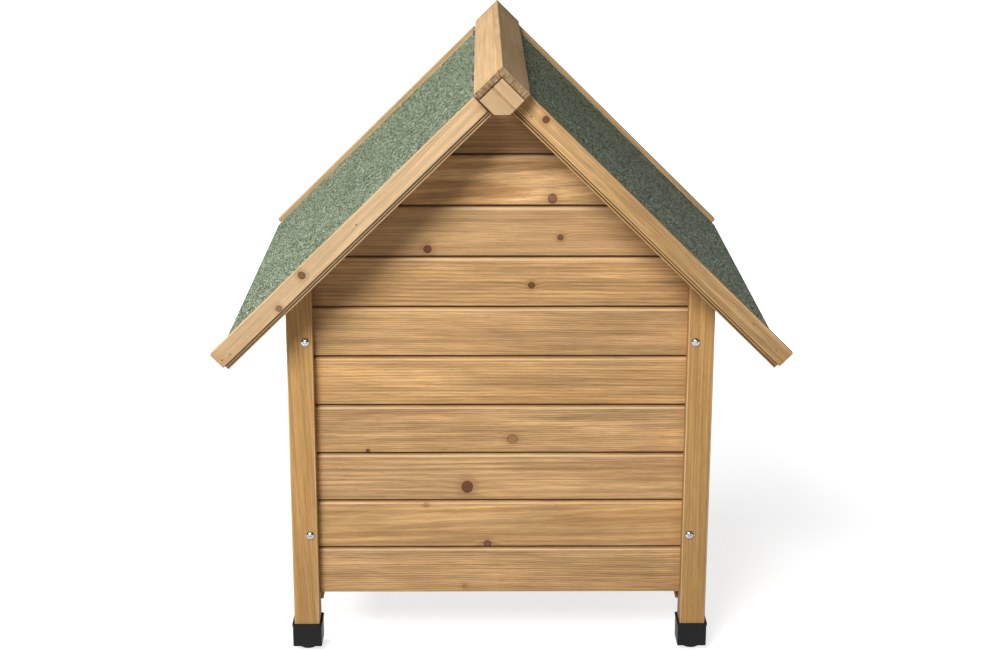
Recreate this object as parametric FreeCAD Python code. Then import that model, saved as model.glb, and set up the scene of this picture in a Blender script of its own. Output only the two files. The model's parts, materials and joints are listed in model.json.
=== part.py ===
import FreeCAD, Part
import math
import os

# A timber dog house with a pitched, felted roof, in millimetres.
# X runs across the gables, Y from the plain rear gable (-Y) to the doorway gable (+Y), Z up.
# The origin is the middle of the footprint, on the ground under the screw-in feet.

# ---------------------------------------------------------------- driving sizes
# Tongued and grooved wall boards
BOARD_COVER = 65.0          # height of wall that one board covers
BOARD_THICK = 10.0
GABLE_COURSES = 10
TONGUE_THICK = 4.0
TONGUE_REACH = 5.0          # how far the tongue stands above the covered height
REBATE_DEPTH = 3.0          # the sunk band along the top of each board's face
REBATE_HEIGHT = 4.0
ARRIS = 1.2                 # the small bevel between face and sunk band
GROOVE_SLACK = 0.3          # room on each side of a tongue
GROOVE_FLOOR = 0.6          # room above a tongue

# Posts and frame
HOUSE_WIDTH = 538.0         # over the posts, across the gables
HOUSE_DEPTH = 495.6         # over the posts, rear to front
POST_SIDE = 33.0
POST_ARRIS = 1.0
GABLE_SETBACK = 17.5        # gable boards stand this far behind the posts' outer faces
SIDE_SETBACK = 6.0          # side boards stand this far inside the posts' outer faces
HOUSING_DEPTH = 6.0         # the groove in a post that takes the gable boards' ends
HOUSING_SLACK = 0.2
END_SLACK = 0.3             # from a board's end to the bottom of its groove
BATTEN_SIDE = 20.0
BATTEN_DROP = 16.7          # the corner battens hang this far below the wall boards
LEG_CLEAR = 65.7            # from the posts' lower ends up to the first board

# Floor
FLOOR_BOARD_THICK = 10.0
FLOOR_BOARD_COUNT = 6
FLOOR_BOARD_GAP = 1.0
FLOOR_SLACK = 0.3

# Doorway in the front gable
DOOR_WIDTH = 250.0
DOOR_HEIGHT = 335.0         # from its sill, which is the top of the first board
DOOR_CORNER = 80.0

# Roof
PITCH = 44.37               # degrees from the level
BEAM_HEIGHT = 46.1          # from the gable's top edge up to the ridge beam's arris
BEAM_FACE = 37.75           # the beam's upper faces, measured down the slope from the ridge line
FELT_THICK = 2.0
DECK_THICK = 10.0
DECK_BOARD_COUNT = 6
DECK_BOARD_GAP = 0.4
EAVE_REACH = 471.0          # ridge line to the eave, down the slope
RAFTER_DEPTH = 12.6         # battens under the deck, along its two sloping edges
RAFTER_WIDTH = 20.0

BARGE_REACH = 493.0         # the rear bargeboards run on past the eave
BARGE_THICK = 12.5
BARGE_TOP_LEFT = 2.7        # how far they stand above the felt; the fixed one is nailed on higher
BARGE_TOP_RIGHT = 5.0
BARGE_WIDTH = 23.2          # upper edge to the lower edge of the face
BARGE_LIP = 6.3             # the sunk tongue below the face
BARGE_LIP_SHY = 2.0         # the tongue ends this much before the face
BARGE_SETBACK = 4.0         # from the face back to the tongue
TRIM_REACH = 466.0          # the front bargeboards end at the eave
TRIM_THICK = 15.2
TRIM_TOP = 6.4
TRIM_WIDTH = 24.7

CAP_THICK = 9.0             # the two boards over the ridge
CAP_LENGTH = 701.4
CAP_REAR_OVERHANG = 26.1    # the cap's ends stand this far past the bargeboards
CAP_FRONT_OVERHANG = 10.6
BLOCK_THICK = 10.5          # the plates that close the ridge beam's ends
BLOCK_SHY = 0.5             # they sit this far inside the cap's ends
BLOCK_INSET = 1.1           # they lie this much inside the cap boards' undersides
BLOCK_HEIGHT = 42.8

# Hinges of the opening roof half, which lies on the -X side
HINGE_COUNT = 3
HINGE_PITCH = 220.0
HINGE_LENGTH = 50.0
LEAF_THICK = 1.5
KNUCKLE_RADIUS = 2.5
PIN_RADIUS = 1.25
PIN_CLEARANCE = 0.05
HINGE_RISE = 7.2            # pin above the felt, so that no trim turns into the cap
LEAF_DROP = 11.0            # the leaves reach this far below the felt's top
KNUCKLE_GAP = 0.3
LID_GAP = 0.3               # between the closed roof half and the walls under it

# Fasteners
SCREW_HEAD_RADIUS = 5.6
SCREW_HEAD_HEIGHT = 3.2
SCREW_SHANK_RADIUS = 2.2
SCREW_LENGTH = 45.0
SCREW_POINT = 5.0
SCREW_SLACK = 0.1
CROSS_LENGTH = 5.6
CROSS_WIDTH = 1.1
CROSS_DEPTH = 1.8
SCREW_INSET = 23.7          # from a post's outer face to the screw's middle
SCREW_HEIGHTS = (86.7, 346.8)   # above the bottom of the wall
HINGE_SCREW_RADIUS = 1.2
HINGE_SCREW_HEAD = 2.6
HINGE_SCREW_LENGTH = 14.0
HINGE_SCREW_SPREAD = 16.0   # each way from the hinge's middle
HINGE_SCREW_SLACK = 0.05

# Feet
CAP_WALL = 2.3
CAP_FLOOR = 3.0
CAP_RISE = 31.0             # whole height of the black caps on the posts
CAP_SLACK = 0.1
CAP_RIM = 0.6
CAP_RIM_HEIGHT = 3.0
PAD_RADIUS = 13.2
PAD_TOP_RADIUS = 12.8
PAD_HEIGHT = 6.8
PAD_EDGE = 5.0              # radius of the pad's lower edge
FOOT_GAP = 0.3              # pad to cap when the foot is screwed right in
STEM_RADIUS = 4.0
STEM_LENGTH = 46.0
STEM_SEAT = 2.6             # the stem stands on the pad's web at this height
STEM_CLEARANCE = 0.05
FOOT_TRAVEL = 15.0
STEM_END_ROOM = 5.0

# ---------------------------------------------------------------- places that follow
COS = math.cos(math.radians(PITCH))
SIN = math.sin(math.radians(PITCH))

half_width = HOUSE_WIDTH / 2
half_depth = HOUSE_DEPTH / 2
cap_bottom = PAD_HEIGHT + FOOT_GAP
post_bottom = cap_bottom + CAP_FLOOR
wall_bottom = post_bottom + LEG_CLEAR
gable_top = wall_bottom + GABLE_COURSES * BOARD_COVER
ridge = gable_top + BEAM_HEIGHT
gable_face = half_depth - GABLE_SETBACK
gable_inner = gable_face - BOARD_THICK
side_face = half_width - SIDE_SETBACK
side_inner = side_face - BOARD_THICK
post_inner_x = half_width - POST_SIDE
post_inner_y = half_depth - POST_SIDE
batten_inner = side_inner - BATTEN_SIDE
deck_under = FELT_THICK + DECK_THICK
floor_top = wall_bottom + BATTEN_SIDE + FLOOR_BOARD_THICK
door_sill = wall_bottom + BOARD_COVER
beam_end = CAP_LENGTH / 2 - BLOCK_SHY - BLOCK_THICK
roof_rear = CAP_LENGTH / 2 - CAP_REAR_OVERHANG - BARGE_THICK
roof_front = CAP_LENGTH / 2 - CAP_FRONT_OVERHANG - TRIM_THICK
pin_slope = BEAM_FACE + KNUCKLE_RADIUS
lid_start = BEAM_FACE + 2 * KNUCKLE_RADIUS
FAR = 2000.0                # longer than the house, for cutting tools

LEFT = -1
RIGHT = 1
REAR = -1
FRONT = 1


def vec(x, y, z):
    return FreeCAD.Vector(x, y, z)


def box(x0, x1, y0, y1, z0, z1):
    """A block between two corners."""
    return Part.makeBox(x1 - x0, y1 - y0, z1 - z0, vec(x0, y0, z0))


def prism(points, run):
    """A flat outline pushed along a vector."""
    wire = Part.makePolygon(points + [points[0]])
    return Part.Face(wire).extrude(run)


def roof_point(slope, rise, side, y=0.0):
    """A point given by its run down one slope and its height off the felt."""
    x = slope * COS + rise * SIN
    z = ridge - slope * SIN + rise * COS
    return vec(side * x, y, z)


def roof_bar(slope0, slope1, rise0, rise1, y0, y1, side):
    """A bar along Y that lies square to one slope."""
    corners = [(slope0, rise0), (slope1, rise0), (slope1, rise1), (slope0, rise1)]
    points = [roof_point(slope, rise, side, y0) for slope, rise in corners]
    return prism(points, vec(0, y1 - y0, 0))


def plane_height(x, depth):
    """Height of the plane that lies a depth below a slope's felt, this far from the middle."""
    return ridge - x * SIN / COS - depth / COS


def under_roof(extra=0.0):
    """Everything below the deck; the opening half keeps its gap."""
    right_depth = deck_under + extra
    left_depth = deck_under + LID_GAP + extra
    peak_x = (left_depth - right_depth) / (2 * SIN)
    peak_z = plane_height(peak_x, right_depth)
    points = [
        vec(-FAR, -FAR, -FAR),
        vec(FAR, -FAR, -FAR),
        vec(FAR, -FAR, plane_height(FAR, right_depth)),
        vec(peak_x, -FAR, peak_z),
        vec(-FAR, -FAR, plane_height(FAR, left_depth)),
    ]
    return prism(points, vec(0, 2 * FAR, 0))


def turned(shape, angle):
    """A copy turned about the vertical through the origin."""
    copy = shape.copy()
    copy.rotate(vec(0, 0, 0), vec(0, 0, 1), angle)
    return copy


def mirrored_y(shape):
    return shape.mirror(vec(0, 0, 0), vec(0, 1, 0))


def tidy(shape):
    """Merges faces left split by a cut."""
    return shape.removeSplitter()


def group(shapes):
    """Loose solids that share one node."""
    solids = []
    for shape in shapes:
        solids.extend(shape.Solids)
    return Part.makeCompound(solids)


# ---------------------------------------------------------------- boards
def wall_board(length, level, face, with_tongue=True):
    """One board along X whose face looks to -Y, its lower edge at a level."""
    groove_front = REBATE_DEPTH - GROOVE_SLACK
    groove_back = REBATE_DEPTH + TONGUE_THICK + GROOVE_SLACK
    groove_top = TONGUE_REACH + GROOVE_FLOOR
    shoulder = BOARD_COVER - REBATE_HEIGHT
    outline = [(0, 0)]
    if with_tongue:
        outline += [
            (0, shoulder - ARRIS),
            (ARRIS, shoulder),
            (REBATE_DEPTH, shoulder),
            (REBATE_DEPTH, BOARD_COVER + TONGUE_REACH),
            (REBATE_DEPTH + TONGUE_THICK, BOARD_COVER + TONGUE_REACH),
            (REBATE_DEPTH + TONGUE_THICK, BOARD_COVER),
        ]
    else:
        outline += [(0, BOARD_COVER)]
    outline += [
        (BOARD_THICK, BOARD_COVER),
        (BOARD_THICK, 0),
        (groove_back, 0),
        (groove_back, groove_top),
        (groove_front, groove_top),
        (groove_front, 0),
    ]
    points = [vec(-length / 2, depth - face, level + height) for depth, height in outline]
    return prism(points, vec(length, 0, 0))


def doorway():
    """The space of the doorway: an upright slot with round top corners."""
    half = DOOR_WIDTH / 2
    top = door_sill + DOOR_HEIGHT
    y = gable_inner - BATTEN_SIDE
    lean = DOOR_CORNER * math.sqrt(0.5)
    corner_x = half - DOOR_CORNER
    corner_z = top - DOOR_CORNER
    right_arc = Part.Arc(
        vec(half, y, corner_z),
        vec(corner_x + lean, y, corner_z + lean),
        vec(corner_x, y, top),
    )
    left_arc = Part.Arc(
        vec(-corner_x, y, top),
        vec(-corner_x - lean, y, corner_z + lean),
        vec(-half, y, corner_z),
    )
    edges = [
        Part.makeLine(vec(-half, y, door_sill), vec(half, y, door_sill)),
        Part.makeLine(vec(half, y, door_sill), vec(half, y, corner_z)),
        right_arc.toShape(),
        Part.makeLine(vec(corner_x, y, top), vec(-corner_x, y, top)),
        left_arc.toShape(),
        Part.makeLine(vec(-half, y, corner_z), vec(-half, y, door_sill)),
    ]
    reach = half_depth - y
    return Part.Face(Part.Wire(edges)).extrude(vec(0, reach, 0))


def gable_boards():
    """The ten courses of the rear gable, looking to -Y."""
    length = 2 * (post_inner_x + HOUSING_DEPTH - END_SLACK)
    cover = under_roof()
    boards = []
    for course in range(GABLE_COURSES):
        level = wall_bottom + course * BOARD_COVER
        last = course == GABLE_COURSES - 1
        board = wall_board(length, level, gable_face, with_tongue=not last)
        boards.append(tidy(board.common(cover)))
    return boards


def side_boards(side):
    """The courses of one side wall, cut to the roof's slope at the top."""
    height = plane_height(side_inner, deck_under) - wall_bottom
    courses = math.ceil(height / BOARD_COVER)
    cover = under_roof()
    boards = []
    for course in range(courses):
        level = wall_bottom + course * BOARD_COVER
        board = wall_board(2 * post_inner_y, level, side_face)
        boards.append(tidy(turned(board, side * 90).common(cover)))
    return group(boards)


# ---------------------------------------------------------------- frame
def wall_screw_places():
    """Axis points of the screws on the rear post faces."""
    places = []
    for side in (LEFT, RIGHT):
        for height in SCREW_HEIGHTS:
            places.append((side * (half_width - SCREW_INSET), wall_bottom + height))
    return places


def screw_holes(radius, y0, y1):
    """Round holes along Y on every wall screw's axis."""
    holes = []
    for x, z in wall_screw_places():
        holes.append(Part.makeCylinder(radius, y1 - y0, vec(x, y0, z), vec(0, 1, 0)))
    return Part.makeCompound(holes)


def stem_bore_top():
    return STEM_SEAT + STEM_LENGTH + STEM_END_ROOM


def rear_post(side):
    """A rear corner post with its groove, foot bore and screw holes."""
    x0 = min(side * post_inner_x, side * half_width)
    x1 = max(side * post_inner_x, side * half_width)
    post = box(x0, x1, -half_depth, -post_inner_y, post_bottom, ridge)
    upright = [edge for edge in post.Edges if abs(edge.tangentAt(edge.FirstParameter).z) > 0.99]
    post = post.makeChamfer(POST_ARRIS, upright)
    groove_x = side * (post_inner_x + HOUSING_DEPTH)
    groove = box(
        min(side * (post_inner_x - POST_ARRIS), groove_x),
        max(side * (post_inner_x - POST_ARRIS), groove_x),
        -gable_face - HOUSING_SLACK,
        -gable_inner + HOUSING_SLACK,
        wall_bottom,
        ridge,
    )
    middle_x = side * (half_width - POST_SIDE / 2)
    middle_y = -half_depth + POST_SIDE / 2
    bore = Part.makeCylinder(
        STEM_RADIUS + STEM_CLEARANCE,
        stem_bore_top() - post_bottom,
        vec(middle_x, middle_y, post_bottom),
    )
    holes = screw_holes(SCREW_SHANK_RADIUS + SCREW_SLACK, -half_depth - 1, -post_inner_y + 1)
    post = post.common(under_roof())
    return tidy(post.cut(groove).cut(bore).cut(holes))


def corner_battens():
    """Upright battens inside the side walls' ends, which the wall screws bite into."""
    cover = under_roof()
    holes = screw_holes(SCREW_SHANK_RADIUS + SCREW_SLACK, -post_inner_y - 1, -half_depth + SCREW_LENGTH + 1)
    battens = []
    for side in (LEFT, RIGHT):
        x0 = min(side * batten_inner, side * side_inner)
        batten = box(
            x0,
            x0 + BATTEN_SIDE,
            -post_inner_y,
            -post_inner_y + BATTEN_SIDE,
            wall_bottom - BATTEN_DROP,
            ridge,
        )
        batten = tidy(batten.common(cover).cut(holes))
        battens += [batten, mirrored_y(batten)]
    return group(battens)


def gable_rafter(side):
    """A sloping batten behind the rear gable's boards, from ridge beam to corner batten."""
    top = deck_under + (LID_GAP if side == LEFT else 0.0)
    bottom = top + BATTEN_SIDE
    slope_top = (batten_inner + top * SIN) / COS
    slope_bottom = (batten_inner + bottom * SIN) / COS
    corners = [(BEAM_FACE, -top), (slope_top, -top), (slope_bottom, -bottom), (BEAM_FACE, -bottom)]
    points = [roof_point(slope, rise, side, -gable_inner) for slope, rise in corners]
    return prism(points, vec(0, BATTEN_SIDE, 0))


def gable_rafters():
    rear = [gable_rafter(LEFT), gable_rafter(RIGHT)]
    return group(rear + [mirrored_y(rafter) for rafter in rear])


def doorway_stiles():
    """Two upright battens inside the front gable, one each side of the doorway."""
    cover = under_roof(BATTEN_SIDE)
    stiles = []
    for side in (LEFT, RIGHT):
        x0 = min(side * DOOR_WIDTH / 2, side * (DOOR_WIDTH / 2 + BATTEN_SIDE))
        stile = box(x0, x0 + BATTEN_SIDE, gable_inner - BATTEN_SIDE, gable_inner, wall_bottom, ridge)
        stiles.append(tidy(stile.common(cover)))
    return group(stiles)


def floor_bearers():
    """Three bearers along Y under the floor: one on each side wall, one in the middle."""
    top = wall_bottom + BATTEN_SIDE
    reach = post_inner_y - BATTEN_SIDE
    bearers = [box(-BATTEN_SIDE / 2, BATTEN_SIDE / 2, -gable_inner, gable_inner, wall_bottom, top)]
    for side in (LEFT, RIGHT):
        x0 = min(side * batten_inner, side * side_inner)
        bearers.append(box(x0, x0 + BATTEN_SIDE, -reach, reach, wall_bottom, top))
    return group(bearers)


def floor_boards():
    """Loose boards across the bearers, notched round the corner battens."""
    reach = gable_inner - BATTEN_SIDE - FLOOR_SLACK
    half = side_inner - FLOOR_SLACK
    pitch = 2 * reach / FLOOR_BOARD_COUNT
    notch_x = batten_inner - FLOOR_SLACK
    notch_y = post_inner_y - BATTEN_SIDE - FLOOR_SLACK
    notches = []
    for x0, x1 in ((-FAR, -notch_x), (notch_x, FAR)):
        for y0, y1 in ((-FAR, -notch_y), (notch_y, FAR)):
            notches.append(box(x0, x1, y0, y1, wall_bottom, floor_top + 1))
    boards = []
    for index in range(FLOOR_BOARD_COUNT):
        y0 = -reach + index * pitch + FLOOR_BOARD_GAP / 2
        y1 = -reach + (index + 1) * pitch - FLOOR_BOARD_GAP / 2
        board = box(-half, half, y0, y1, floor_top - FLOOR_BOARD_THICK, floor_top)
        boards.append(board.cut(notches))
    return group(boards)


# ---------------------------------------------------------------- ridge
def ridge_section(inset, bottom, y):
    """The pentagon of the ridge beam: two upper faces, two lower faces and a flat."""
    top = vec(0, y, ridge - inset / COS)
    right_shoulder = roof_point(BEAM_FACE, -inset, RIGHT, y)
    fall = (right_shoulder.z - bottom) / COS
    right_foot = vec(right_shoulder.x - fall * SIN, y, bottom)
    left_shoulder = vec(-right_shoulder.x, y, right_shoulder.z)
    left_foot = vec(-right_foot.x, y, bottom)
    return [top, right_shoulder, right_foot, left_foot, left_shoulder]


def hinge_middles():
    first = -HINGE_PITCH * (HINGE_COUNT - 1) / 2
    return [first + index * HINGE_PITCH for index in range(HINGE_COUNT)]


def hinge_screw_places():
    """Places along Y of the two screws in each hinge leaf."""
    places = []
    for middle in hinge_middles():
        places += [middle - HINGE_SCREW_SPREAD, middle + HINGE_SCREW_SPREAD]
    return places


def hinge_screw(start, direction, y, slack=0.0):
    """A countersunk screw in the slope's plane, its head flush with a leaf."""
    rise = -(FELT_THICK + DECK_THICK / 2)
    origin = roof_point(start, rise, LEFT, y)
    ahead = roof_point(start + direction, rise, LEFT, y)
    axis = ahead - origin
    head = Part.makeCone(
        HINGE_SCREW_HEAD + slack, HINGE_SCREW_RADIUS + slack, LEAF_THICK, origin, axis
    )
    shank = Part.makeCylinder(HINGE_SCREW_RADIUS + slack, HINGE_SCREW_LENGTH + slack, origin, axis)
    return head.fuse(shank)


def beam_screws(slack=0.0):
    """Screws through the fixed leaves into the ridge beam."""
    start = BEAM_FACE + LEAF_THICK
    return [hinge_screw(start, -1, y, slack) for y in hinge_screw_places()]


def lid_screws(slack=0.0):
    """Screws through the moving leaves into the upper deck board."""
    start = lid_start - LEAF_THICK
    return [hinge_screw(start, 1, y, slack) for y in hinge_screw_places()]


def ridge_beam():
    section = ridge_section(0.0, gable_top, -beam_end)
    beam = prism(section, vec(0, 2 * beam_end, 0))
    return beam.cut(beam_screws(HINGE_SCREW_SLACK))


def ridge_end_blocks():
    """Plates over the beam's two ends, inside the cap boards."""
    bottom = ridge - BLOCK_INSET / COS - BLOCK_HEIGHT
    y = -beam_end - BLOCK_THICK
    block = prism(ridge_section(BLOCK_INSET, bottom, y), vec(0, BLOCK_THICK, 0))
    return group([block, mirrored_y(block)])


def ridge_cap_right():
    """The cap board that laps over the other one at the ridge."""
    y = -CAP_LENGTH / 2
    overlap = CAP_THICK / math.sin(math.radians(2 * PITCH))
    start = -CAP_THICK * SIN / COS
    points = [
        roof_point(BEAM_FACE, 0, RIGHT, y),
        roof_point(BEAM_FACE, CAP_THICK, RIGHT, y),
        roof_point(start, CAP_THICK, RIGHT, y),
        roof_point(-overlap, 0, RIGHT, y),
    ]
    return prism(points, vec(0, CAP_LENGTH, 0))


def ridge_cap_left():
    """The cap board that butts under the other one."""
    y = -CAP_LENGTH / 2
    overlap = CAP_THICK / math.sin(math.radians(2 * PITCH))
    points = [
        roof_point(BEAM_FACE, 0, LEFT, y),
        roof_point(BEAM_FACE, CAP_THICK, LEFT, y),
        roof_point(-overlap, 0, RIGHT, y),
        roof_point(0, 0, LEFT, y),
    ]
    return prism(points, vec(0, CAP_LENGTH, 0))


# ---------------------------------------------------------------- roof halves
def slope_start(side):
    """Where a half begins, below the ridge line: the opening half leaves room for its hinges."""
    return lid_start if side == LEFT else BEAM_FACE


def roof_deck(side):
    """Boards along Y, from the ridge beam down to the eave."""
    start = slope_start(side)
    end = EAVE_REACH - FELT_THICK
    pitch = (end - start) / DECK_BOARD_COUNT
    boards = []
    for index in range(DECK_BOARD_COUNT):
        slope0 = start + index * pitch
        slope1 = slope0 + pitch
        if index > 0:
            slope0 += DECK_BOARD_GAP
        boards.append(roof_bar(slope0, slope1, -deck_under, -FELT_THICK, -roof_rear, roof_front, side))
    if side == LEFT:
        boards[0] = boards[0].cut(lid_screws(HINGE_SCREW_SLACK))
    return group(boards)


def roof_felt(side):
    """Felt over the deck, folded down over the eave."""
    inner = EAVE_REACH - FELT_THICK
    corners = [
        (slope_start(side), 0),
        (EAVE_REACH, 0),
        (EAVE_REACH, -deck_under),
        (inner, -deck_under),
        (inner, -FELT_THICK),
        (slope_start(side), -FELT_THICK),
    ]
    points = [roof_point(slope, rise, side, -roof_rear) for slope, rise in corners]
    return prism(points, vec(0, roof_rear + roof_front, 0))


def bargeboard(side, end, inner_y, thick, top, width, reach):
    """A board over a sloping roof edge; a sunk tongue runs along its lower edge."""
    outer_y = inner_y + thick
    lip_y = outer_y - BARGE_SETBACK
    bottom = top - width
    lip_bottom = bottom - BARGE_LIP
    section = [
        (inner_y, top),
        (outer_y, top),
        (outer_y, bottom + ARRIS),
        (outer_y - ARRIS, bottom),
        (lip_y, bottom),
        (lip_y, lip_bottom),
        (lip_y - TONGUE_THICK, lip_bottom),
        (lip_y - TONGUE_THICK, bottom),
        (inner_y, bottom),
    ]
    start = slope_start(side)
    points = [roof_point(start, rise, side, end * y) for y, rise in section]
    run = roof_point(reach, 0, side) - roof_point(start, 0, side)
    board = prism(points, run)
    y0, y1 = sorted((end * inner_y, end * outer_y))
    shy = roof_bar(
        reach - BARGE_LIP_SHY, reach + 1, lip_bottom - 1, bottom, y0 - 1, y1 + 1, side
    )
    return board.cut(shy)


def rear_bargeboard(side):
    top = BARGE_TOP_LEFT if side == LEFT else BARGE_TOP_RIGHT
    return bargeboard(side, REAR, roof_rear, BARGE_THICK, top, BARGE_WIDTH, BARGE_REACH)


def front_bargeboard(side):
    return bargeboard(side, FRONT, roof_front, TRIM_THICK, TRIM_TOP, TRIM_WIDTH, TRIM_REACH)


def roof_rafters(side):
    """Battens under the deck, just inside both bargeboards."""
    start = slope_start(side)
    end = EAVE_REACH - FELT_THICK
    bottom = -deck_under - RAFTER_DEPTH
    rear = roof_bar(start, end, bottom, -deck_under, -roof_rear, -roof_rear + RAFTER_WIDTH, side)
    front = roof_bar(start, end, bottom, -deck_under, roof_front - RAFTER_WIDTH, roof_front, side)
    return group([rear, front])


# ---------------------------------------------------------------- hinges
def knuckle(y0, y1, radius):
    """A round length on the hinge pin's axis."""
    return Part.makeCylinder(radius, y1 - y0, roof_point(pin_slope, HINGE_RISE, LEFT, y0), vec(0, 1, 0))


def hinge_leaf(middle, plate_slope, own_middle):
    """A leaf beside the pin, with either the middle knuckle or the two outer ones."""
    y0 = middle - HINGE_LENGTH / 2
    y1 = middle + HINGE_LENGTH / 2
    third = HINGE_LENGTH / 3
    inner = (y0 + third, y1 - third)
    plate = roof_bar(
        plate_slope, plate_slope + LEAF_THICK, -LEAF_DROP, HINGE_RISE, y0, y1, LEFT
    )
    keep_below = HINGE_RISE - KNUCKLE_RADIUS - KNUCKLE_GAP
    slope0 = plate_slope - 1
    slope1 = plate_slope + LEAF_THICK + 1
    half_gap = KNUCKLE_GAP / 2
    if own_middle:
        spans = [(inner[0] + half_gap, inner[1] - half_gap)]
        clear = [(y0 - 1, inner[0] + half_gap), (inner[1] - half_gap, y1 + 1)]
    else:
        spans = [(y0, inner[0] - half_gap), (inner[1] + half_gap, y1)]
        clear = [(inner[0] - half_gap, inner[1] + half_gap)]
    leaf = plate
    for low, high in clear:
        leaf = leaf.cut(roof_bar(slope0, slope1, keep_below, HINGE_RISE + 1, low, high, LEFT))
    for low, high in spans:
        leaf = leaf.fuse(knuckle(low, high, KNUCKLE_RADIUS))
    return leaf.cut(knuckle(y0 - 1, y1 + 1, PIN_RADIUS + PIN_CLEARANCE))


def fixed_leaves():
    leaves = [hinge_leaf(middle, BEAM_FACE, False) for middle in hinge_middles()]
    holes = beam_screws(HINGE_SCREW_SLACK)
    return group([tidy(leaf.cut(holes)) for leaf in leaves])


def moving_leaves():
    leaves = [hinge_leaf(middle, lid_start - LEAF_THICK, True) for middle in hinge_middles()]
    holes = lid_screws(HINGE_SCREW_SLACK)
    return group([tidy(leaf.cut(holes)) for leaf in leaves])


def hinge_pins():
    half = HINGE_LENGTH / 2
    return group([knuckle(middle - half, middle + half, PIN_RADIUS) for middle in hinge_middles()])


# ---------------------------------------------------------------- fasteners and feet
def wall_screw():
    """A pan-head screw along +Y with its head's seat at the origin."""
    head_low = vec(SCREW_HEAD_RADIUS, -1.0, 0)
    head_top = vec(0, -SCREW_HEAD_HEIGHT, 0)
    head_way = vec(SCREW_HEAD_RADIUS * 0.72, -SCREW_HEAD_HEIGHT * 0.86, 0)
    outline = [
        Part.makeLine(vec(0, SCREW_LENGTH, 0), vec(SCREW_SHANK_RADIUS, SCREW_LENGTH - SCREW_POINT, 0)),
        Part.makeLine(vec(SCREW_SHANK_RADIUS, SCREW_LENGTH - SCREW_POINT, 0), vec(SCREW_SHANK_RADIUS, 0, 0)),
        Part.makeLine(vec(SCREW_SHANK_RADIUS, 0, 0), vec(SCREW_HEAD_RADIUS, 0, 0)),
        Part.makeLine(vec(SCREW_HEAD_RADIUS, 0, 0), head_low),
        Part.Arc(head_low, head_way, head_top).toShape(),
        Part.makeLine(head_top, vec(0, SCREW_LENGTH, 0)),
    ]
    screw = Part.Face(Part.Wire(outline)).revolve(vec(0, 0, 0), vec(0, 1, 0), 360)
    arm = CROSS_LENGTH / 2
    half = CROSS_WIDTH / 2
    low = -SCREW_HEAD_HEIGHT - 1
    high = -SCREW_HEAD_HEIGHT + CROSS_DEPTH
    cross = box(-arm, arm, low, high, -half, half).fuse(box(-half, half, low, high, -arm, arm))
    return screw.cut(cross)


def wall_screws():
    screws = []
    for x, z in wall_screw_places():
        screw = wall_screw()
        screw.translate(vec(x, -half_depth, z))
        screws += [screw, mirrored_y(screw)]
    return group(screws)


def foot_cap():
    """The black cap on a post's end, about the post's own axis."""
    inner = POST_SIDE / 2 + CAP_SLACK
    outer = inner + CAP_WALL
    rim = outer + CAP_RIM
    top = cap_bottom + CAP_RISE
    shell = box(-outer, outer, -outer, outer, cap_bottom, top)
    rim_bar = box(-rim, rim, -rim, rim, top - CAP_RIM_HEIGHT, top)
    shell = shell.fuse(rim_bar)
    upright = [edge for edge in shell.Edges if abs(edge.tangentAt(edge.FirstParameter).z) > 0.99]
    shell = shell.makeFillet(CAP_WALL, upright)
    hollow = box(-inner, inner, -inner, inner, post_bottom, top + 1)
    bore = Part.makeCylinder(STEM_RADIUS + STEM_CLEARANCE, cap_bottom + CAP_FLOOR, vec(0, 0, 0))
    return tidy(shell.cut(hollow).cut(bore))


def foot_pad():
    """The round pad that stands on the ground, with a seat for its stem."""
    lean = PAD_EDGE * math.sqrt(0.5)
    bore = STEM_RADIUS + STEM_CLEARANCE
    edge_x = PAD_RADIUS - PAD_EDGE
    outline = [
        Part.makeLine(vec(0, 0, 0), vec(edge_x, 0, 0)),
        Part.Arc(
            vec(edge_x, 0, 0),
            vec(edge_x + lean, 0, PAD_EDGE - lean),
            vec(PAD_RADIUS, 0, PAD_EDGE),
        ).toShape(),
        Part.makeLine(vec(PAD_RADIUS, 0, PAD_EDGE), vec(PAD_TOP_RADIUS, 0, PAD_HEIGHT)),
        Part.makeLine(vec(PAD_TOP_RADIUS, 0, PAD_HEIGHT), vec(bore, 0, PAD_HEIGHT)),
        Part.makeLine(vec(bore, 0, PAD_HEIGHT), vec(bore, 0, STEM_SEAT)),
        Part.makeLine(vec(bore, 0, STEM_SEAT), vec(0, 0, STEM_SEAT)),
        Part.makeLine(vec(0, 0, STEM_SEAT), vec(0, 0, 0)),
    ]
    return Part.Face(Part.Wire(outline)).revolve(vec(0, 0, 0), vec(0, 0, 1), 360)


def foot_stem():
    return Part.makeCylinder(STEM_RADIUS, STEM_LENGTH, vec(0, 0, STEM_SEAT))


def at_foot(shape, side, end):
    """A copy of a foot piece moved from the origin under one post."""
    copy = shape.copy()
    middle = POST_SIDE / 2
    copy.translate(vec(side * (half_width - middle), end * (half_depth - middle), 0))
    return copy


# ---------------------------------------------------------------- all nodes
CORNERS = {
    "rear_left": (LEFT, REAR),
    "rear_right": (RIGHT, REAR),
    "front_left": (LEFT, FRONT),
    "front_right": (RIGHT, FRONT),
}
HALVES = {"left": LEFT, "right": RIGHT}


def wall_nodes():
    nodes = {}
    opening = doorway()
    for number, board in enumerate(gable_boards(), 1):
        nodes[f"rear_board_{number:02d}"] = board
        nodes[f"front_board_{number:02d}"] = mirrored_y(board).cut(opening)
    for name, side in HALVES.items():
        nodes[f"side_boards_{name}"] = side_boards(side)
    return nodes


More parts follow.
